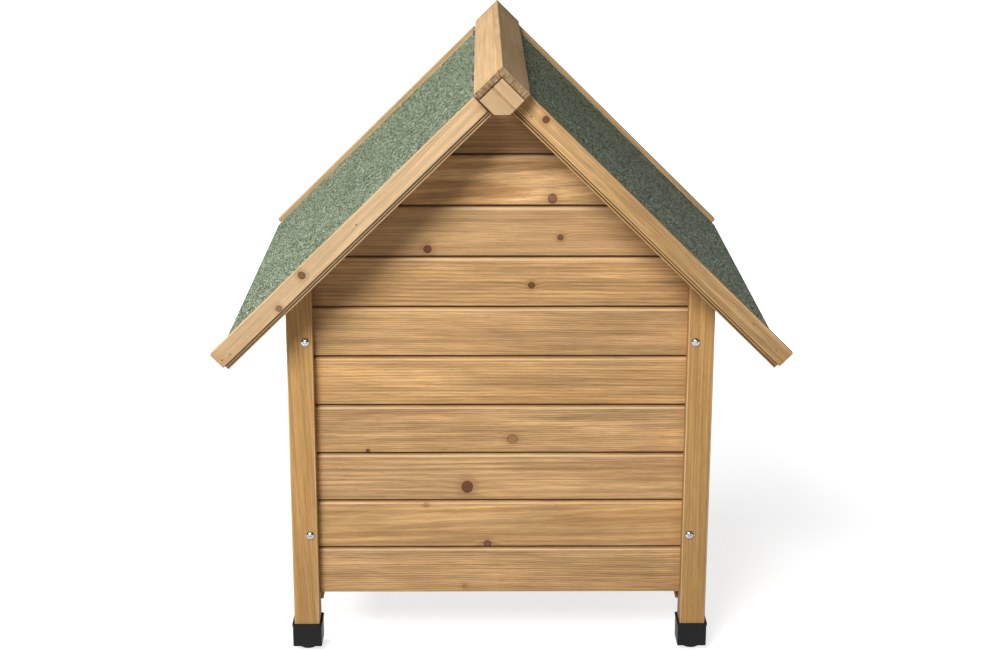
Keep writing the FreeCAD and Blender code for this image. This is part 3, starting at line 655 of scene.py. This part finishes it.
def lean_shoulder(thin):
    """Leans back the strip of a board's face above which its sunk band begins; the strip then gets the painted
    highlight.
    """
    def shape(bm):
        outer = max(v.co.dot(thin) for v in bm.verts)
        top = max(v.co.z for v in bm.verts if outer - v.co.dot(thin) < 1e-5)
        bmesh.ops.bisect_plane(
            bm, geom=[*bm.verts, *bm.edges, *bm.faces], dist=1e-6,
            plane_co=(0, 0, top - SHOULDER_DOWN), plane_no=(0, 0, 1),
        )
        for v in bm.verts:
            if abs(v.co.z - top) < 1e-5 and outer - v.co.dot(thin) < 1e-5:
                v.co -= thin * SHOULDER_BACK
    return shape


X, Y, Z = Vector((1, 0, 0)), Vector((0, 1, 0)), Vector((0, 0, 1))


def dress_timber(name, slot, along, thin, width=0.0006, knots=None, figure=None, shape=None):
    """Replaces one CAD timber node by its eased, marked copy."""
    meshes = []
    for index, bm in enumerate(solids_of(name)):
        if shape:
            shape(bm)
        eased = ease(bm, width)
        way = along(bm) if callable(along) else along
        mark_timber(bm, name, index, way, thin(bm) if callable(thin) else thin, knots, figure, eased)
        meshes.append(bm)
    piece = save_piece(f"{name}_planed", meshes, finishes[slot], body_of_node[name], [name])
    return len(piece.data.polygons)


print("timber marking ready")

# %% [markdown]
# ## The rear wall
# Ten tongued and grooved boards, face out. These are the boards the picture shows best, so their
# knots and figure are chosen one by one: ring width in millimetres, how strong the rings are, and
# how light the board is. Knots have a place on the wall, a radius in millimetres and a depth.

# %% Rear boards
WALL_FACE = -0.2303


def wall_knot(x, z, radius, depth=1.0):
    return Vector((x / 1000, WALL_FACE, z / 1000)), radius, depth


REAR_BOARDS = {
    1: ((3.0, 0.55, 0.93, True), [wall_knot(-46, 83.1, 4.0, 0.45)]),
    2: ((4.6, 0.45, 0.97, False), [wall_knot(-16.1, 143.6, 5.0, 0.9), wall_knot(-96, 198.1, 3.4, 0.55)]),
    3: ((7.5, 0.50, 1.02, True), [wall_knot(-42.1, 223.2, 7.4, 1.0)]),
    4: ((2.6, 0.60, 0.97, True), [wall_knot(15.9, 287.5, 6.5, 0.62), wall_knot(-170, 272.1, 2.2, 1.0)]),
    5: ((3.4, 0.50, 1.03, True), []),
    6: ((2.6, 0.45, 1.00, True), []),
    7: ((4.6, 0.52, 0.93, True), [wall_knot(38.9, 492.0, 4.4, 1.0)]),
    8: ((3.0, 0.32, 0.94, True), [wall_knot(-91.2, 538.5, 5.2, 1.0), wall_knot(74.6, 553.9, 4.0, 0.95)]),
    9: ((13.0, 0.55, 1.13, False), [wall_knot(64.1, 603.4, 6.6, 0.88)]),
    # Board 10's low tone, 0.74, is painted shade: it darkens the top board under the ridge block and bargeboards.
    10: ((4.0, 0.50, 0.74, True), []),
}
faces = 0
for course, (figure, knots) in REAR_BOARDS.items():
    shape = lean_shoulder(-Y) if course < 10 else None
    faces += dress_timber(f"rear_board_{course:02d}", "wall_pine", X, -Y, 0.0004, knots, figure, shape)
print("rear wall:", faces, "faces")

# %% [markdown]
# ## The other walls
# The doorway gable and the side walls use the same boards. No picture shows them, so their knots
# and figure come from the seeded draws.

# %% Front and side boards
faces = 0
for course in range(1, 11):
    shape = lean_shoulder(Y) if course < 10 else None
    faces += dress_timber(f"front_board_{course:02d}", "wall_pine", X, Y, 0.0004, shape=shape)
for name, side in (("left", LEFT), ("right", RIGHT)):
    faces += dress_timber(f"side_boards_{name}", "wall_pine", Y, X * side, 0.0004, shape=lean_shoulder(X * side))
print("other walls:", faces, "faces")

# %% [markdown]
# ## Posts, battens and floor
# Square posts stand at the corners, with small battens behind them. A batten that follows the roof
# needs its own direction, which is the slope's on the side where it lies.

# %% Frame timbers


def side_of(bm):
    return LEFT if sum(v.co.x for v in bm.verts) < 0 else RIGHT


faces = 0
for end in ("rear", "front"):
    for side in ("left", "right"):
        tone = 0.92 if side == "left" else 0.86
        faces += dress_timber(
            f"post_{end}_{side}", "frame_pine", Z, -Y if end == "rear" else Y, 0.0008, [],
            (3.4, 0.28, tone, side == "right", 0.2),
        )
faces += dress_timber("corner_battens", "frame_pine", Z, Y)
faces += dress_timber("doorway_stiles", "frame_pine", Z, Y)
faces += dress_timber("floor_bearers", "frame_pine", Y, Z)
faces += dress_timber("gable_rafters", "frame_pine", lambda bm: down_slope(side_of(bm)), Y)
faces += dress_timber("floor_boards", "inner_pine", X, Z)
print("frame and floor:", faces, "faces")

# %% [markdown]
# ## Roof boards and trim
# The deck boards run along the ridge, and the bargeboards down the slope. The picture shows three
# knots on the rear bargeboards.

# %% Roof timbers
BARGE_FACE = -324.6


def barge_knot(side, run, rise, radius, depth=1.0):
    return on_roof(side, run, rise, BARGE_FACE), radius, depth


BARGE_KNOTS = {
    "left": [barge_knot(LEFT, 341, -5.7, 4.5, 0.95), barge_knot(LEFT, 390.4, -15.5, 4.0, 0.85)],
    "right": [barge_knot(RIGHT, 74.9, -2.0, 4.6, 1.0)],
}
BARGE_FIGURE = {"left": (2.4, 0.18, 1.02, True, 0.0), "right": (2.4, 0.60, 0.90, True, 1.0)}
faces = 0
for name, side in (("left", LEFT), ("right", RIGHT)):
    slope, normal = down_slope(side), off_slope(side)
    faces += dress_timber(f"roof_deck_{name}", "inner_pine", Y, normal)
    faces += dress_timber(f"roof_rafters_{name}", "inner_pine", slope, normal)
    faces += dress_timber(
        f"rear_bargeboard_{name}", "trim_pine", slope, -Y, 0.0006, BARGE_KNOTS[name], BARGE_FIGURE[name]
    )
    faces += dress_timber(f"front_bargeboard_{name}", "trim_pine", slope, Y, 0.0006, [], (2.8, 0.5, 1.0, True))
    faces += dress_timber(f"ridge_cap_{name}", "trim_pine", Y, normal, 0.0012, [], (3.6, 0.10, 1.00, False, 0.3))
faces += dress_timber("ridge_beam", "frame_pine", Y, Z)
print("roof timbers:", faces, "faces")

# %% [markdown]
# ## The plates over the ridge beam's ends
# Each plate was sawn from a grooved board: one V-groove runs across it, in line with the right-hand
# slope. Three cuts across the plate make room for it, and the middle cut's edge on the outer face
# is then pushed in by two millimetres.

# %% Ridge end blocks
GROOVE_DOWN = 0.0170
GROOVE_HALF = 0.0014
GROOVE_DEPTH = 0.0020


def cut_groove(bm):
    normal = off_slope(RIGHT)
    outer = max(abs(v.co.y) for v in bm.verts)
    top = Vector((0, 0, RIDGE))
    for step in (-GROOVE_HALF, 0, GROOVE_HALF):
        bmesh.ops.bisect_plane(
            bm, geom=[*bm.verts, *bm.edges, *bm.faces], dist=1e-6,
            plane_co=top - normal * (GROOVE_DOWN + step), plane_no=normal,
        )
    for v in bm.verts:
        depth = abs((v.co - top).dot(normal) + GROOVE_DOWN)
        if depth < 1e-5 and abs(v.co.y) > outer - 1e-5:
            v.co.y -= math.copysign(GROOVE_DEPTH, v.co.y)


faces = dress_timber(
    "ridge_end_blocks", "trim_pine", down_slope(RIGHT), Y, 0.0004, [], (2.2, 0.16, 0.95, True, 0.2), cut_groove
)
print("plates:", faces, "faces")

# %% [markdown]
# ## Felt, feet and metal
# These keep their CAD shapes and only need softer edges. The felt folds over the eave in a rounded
# bend, the plastic caps have moulded corners, and the screw heads are rolled.

# %% Felt, feet and metal
def dress_plain(name, slot, width, segments=2, shortest=0.0004):
    meshes = []
    for bm in solids_of(name):
        ease(bm, width, segments, shortest)
        meshes.append(bm)
    piece = save_piece(f"{name}_eased", meshes, finishes[slot], body_of_node[name], [name])
    return len(piece.data.polygons)


faces = 0
for side in ("left", "right"):
    faces += dress_plain(f"roof_felt_{side}", "green_felt", 0.0008, 3, 0.001)
faces += dress_plain("foot_caps", "black_plastic", 0.0006)
for name in ("hinge_leaves_fixed", "hinge_leaves_moving", "hinge_pins", "hinge_screws_beam", "hinge_screws_lid"):
    faces += dress_plain(name, "hinge_steel", 0.00015, 1, 0.0004)
print("felt, caps and hinges:", faces, "faces")

# %% [markdown]
# ## Bright pan-head screws
# A pan head is a low dome with a cross recess. Its CAD solid already has both, so the node stays
# and only gets the zinc finish.

# %% Screws and pads
nodes["wall_screws"].data.materials.clear()
nodes["wall_screws"].data.materials.append(finishes["zinc_steel"])
CORNERS = ("rear_left", "rear_right", "front_left", "front_right")
for corner in CORNERS:
    pad = nodes[f"foot_pad_{corner}"]
    pad.data.materials.clear()
    pad.data.materials.append(finishes["black_plastic"])
print("screws and pads finished")

# %% [markdown]
# ## Threaded stems
# A foot is screwed out to level the house, and its stem then shows below the cap. A thread is a
# small tooth carried round a helix: spin turns the tooth and lifts it by one pitch a turn, so each
# turn ends where the next begins. The two ends are cut square and closed.

# %% Threaded stems
STEM_RADIUS = 0.004
THREAD_PITCH = 0.00125
THREAD_DEPTH = 0.00065
STEPS = 24


def threaded_rod(low, high):
    bm = bmesh.new()
    turns = int((high - low) / THREAD_PITCH) + 3
    start = low - THREAD_PITCH
    crests = []
    for turn in range(turns):
        z = start + turn * THREAD_PITCH
        crests.append(bm.verts.new((STEM_RADIUS - THREAD_DEPTH, 0, z)))
        crests.append(bm.verts.new((STEM_RADIUS, 0, z + THREAD_PITCH / 2)))
    edges = [bm.edges.new(pair) for pair in zip(crests, crests[1:])]
    bmesh.ops.spin(
        bm, geom=edges, cent=(0, 0, 0), axis=(0, 0, 1), dvec=(0, 0, THREAD_PITCH / STEPS),
        angle=math.tau, steps=STEPS, use_merge=False,
    )
    bmesh.ops.remove_doubles(bm, verts=bm.verts, dist=1e-5)
    for z, way in ((low, -1), (high, 1)):
        cut = bmesh.ops.bisect_plane(
            bm, geom=[*bm.verts, *bm.edges, *bm.faces], dist=1e-7,
            plane_co=(0, 0, z), plane_no=(0, 0, way), clear_outer=True,
        )
        rim = [g for g in cut["geom_cut"] if isinstance(g, bmesh.types.BMEdge)]
        bmesh.ops.holes_fill(bm, edges=rim, sides=0)
    bmesh.ops.recalc_face_normals(bm, faces=bm.faces)
    return bm


for corner in CORNERS:
    low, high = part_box(f"foot_stem_{corner}")
    rod = threaded_rod(low[2], high[2])
    bmesh.ops.translate(rod, verts=rod.verts, vec=((low[0] + high[0]) / 2, (low[1] + high[1]) / 2, 0))
    stem = save_piece(
        f"foot_stem_{corner}_thread", [rod], finishes["zinc_steel"], f"foot_{corner}",
        [f"foot_stem_{corner}"],
    )
print("each stem has", len(stem.data.polygons), "faces")

# %% [markdown]
# ## Nails
# The trim and the side boards are pinned with small brads. Each shows as a dark, slightly domed
# head, barely proud of the wood. One short cone per nail is enough, its upper edge bevelled.

# %% Nails
NAIL_RADIUS = 0.0011
NAIL_PROUD = 0.00018
NAIL_SUNK = 0.0008
BOARD_COVER = 65
WALL_FOOT = 75.8
WALL_SIDE = 0.263
BATTEN_MIDDLE = 205
NAIL_ROWS = (18, 46)
EAVE_HEIGHT = 500


def nail_heads(name, body, places):
    """One piece of nail heads from (place, outward direction) pairs."""
    heads = []
    for place, outward in places:
        bm = bmesh.new()
        bmesh.ops.create_cone(
            bm, cap_ends=True, segments=12, radius1=NAIL_RADIUS, radius2=NAIL_RADIUS, depth=NAIL_SUNK + NAIL_PROUD
        )
        top = [e for e in bm.edges if all(v.co.z > 0 for v in e.verts)]
        bmesh.ops.bevel(
            bm, geom=top, offset=0.0003, offset_type="OFFSET", segments=2, profile=0.5,
            affect="EDGES", clamp_overlap=True, material=-1,
        )
        turn = outward.to_track_quat("Z", "Y").to_matrix().to_4x4()
        sink = Matrix.Translation(place + outward * (NAIL_PROUD - NAIL_SUNK) / 2)
        bmesh.ops.transform(bm, matrix=sink @ turn, verts=bm.verts)
        heads.append(bm)
    return save_piece(name, heads, finishes["nail_steel"], body, [])


def barge_nail(side, run, rise):
    return on_roof(side, run, rise, BARGE_FACE), -Y


def side_nails(side):
    """Two nails at each end of each side board, into the corner battens."""
    found = []
    for course in range(7):
        for y in (-BATTEN_MIDDLE, BATTEN_MIDDLE):
            for z in NAIL_ROWS:
                height = WALL_FOOT + course * BOARD_COVER + z
                if height < EAVE_HEIGHT:
                    found.append((Vector((side * WALL_SIDE, y / 1000, height / 1000)), X * side))
    return found


house_nails = [barge_nail(RIGHT, run, rise) for run, rise in ((431, -3.3), (474.6, -6.6), (60, -12))]
house_nails += [(on_roof(side, 24, 9, y), off_slope(side)) for side in (LEFT, RIGHT) for y in (-300, -60, 180)]
lid_nails = [barge_nail(LEFT, run, rise) for run, rise in ((474.3, -13.9), (486.3, -12.4), (250, -8))]
nail_heads("nails_house", "house", house_nails + side_nails(LEFT) + side_nails(RIGHT))
nail_heads("nails_roof_half", "roof_half_left", lid_nails)
print("nail heads:", len(house_nails) + len(lid_nails), "on the trim and", len(side_nails(LEFT)) * 2, "on the sides")

# %% [markdown]
# ## Floor, backdrop and light
# The picture has a pure white ground. The floor keeps the house's soft shadow, so it is a real
# surface with a pale colour, while the world is plain white to the camera only.
# What lights the house is a dimmer world, a lamp over the left slope, a wide one in front of the
# gable, which keeps the shadows under the bargeboards soft, and a weak one over the right slope.

# %% Stage
floor_mesh = bpy.data.meshes.new("floor")
bm = bmesh.new()
bmesh.ops.create_grid(bm, x_segments=1, y_segments=1, size=8.0)
bmesh.ops.translate(bm, verts=bm.verts, vec=(0, 0, -0.0003))
bm.to_mesh(floor_mesh)
bm.free()
floor = bpy.data.objects.new("floor", floor_mesh)
bpy.context.scene.collection.objects.link(floor)
floor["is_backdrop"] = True
paper, b, shader = new_material("white_paper", (0.8, 0.8, 0.8))
shader["Base Color"].default_value = (0.42, 0.42, 0.42, 1)
shader["Roughness"].default_value = 0.9
rays = b.add("LightPath").outputs
seen = b.math("MAXIMUM", rays["Is Camera Ray"], rays["Is Glossy Ray"])
shader["Emission Color"].default_value = (1, 1, 1, 1)
from_house = b.add("VectorMath", operation="LENGTH")
b.feed(from_house.inputs[0], b.add("TexCoord").outputs["Object"])
away = b.rise(from_house.outputs["Value"], 0.55, 1.5)
b.feed(shader["Emission Strength"], b.math("MULTIPLY", seen, b.math("MULTIPLY_ADD", away, 0.45, 0.78)))
floor_mesh.materials.append(paper)

world = bpy.data.worlds.new("studio")
bpy.context.scene.world = world
world.use_nodes = True
b = Bench(world.node_tree)
background = world.node_tree.nodes["Background"].inputs
background["Color"].default_value = (1, 1, 1, 1)
rays = b.add("LightPath").outputs
seen = b.math("MAXIMUM", rays["Is Camera Ray"], rays["Is Transmission Ray"])
b.feed(background["Strength"], b.math("MULTIPLY_ADD", seen, 0.90, 0.10))
print("stage and world made")

# %% Lamps


def soft_lamp(name, place, aim, size, watts):
    lamp = bpy.data.objects.new(name, bpy.data.lights.new(name, "AREA"))
    bpy.context.scene.collection.objects.link(lamp)
    lamp.data.shape = "DISK"
    lamp.data.size = size
    lamp.data.energy = watts
    lamp.location = place
    lamp.rotation_euler = (Vector(aim) - Vector(place)).to_track_quat("-Z", "Y").to_euler()
    return lamp


soft_lamp("key_lamp", (-2.4, 0.35, 2.3), (-0.2, 0, 0.6), 1.0, 60)
soft_lamp("front_lamp", (-1.1, -3.3, 2.85), (0, 0, 0.4), 1.5, 162)
soft_lamp("fill_lamp", (2.5, 0.35, 2.3), (0.2, 0, 0.6), 1.2, 6)
bpy.context.scene.view_settings.view_transform = "Standard"

# %% [markdown]
# ## Closing
# The two boxes are gathered and the dressed one is printed, so that the dressed house can be held against its CAD
# model.

# %% Sizes and finish
sizes = {"cad": [list(corner) for corner in cad_box], "visual": [list(corner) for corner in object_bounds()]}
print("visual box", sizes["visual"])
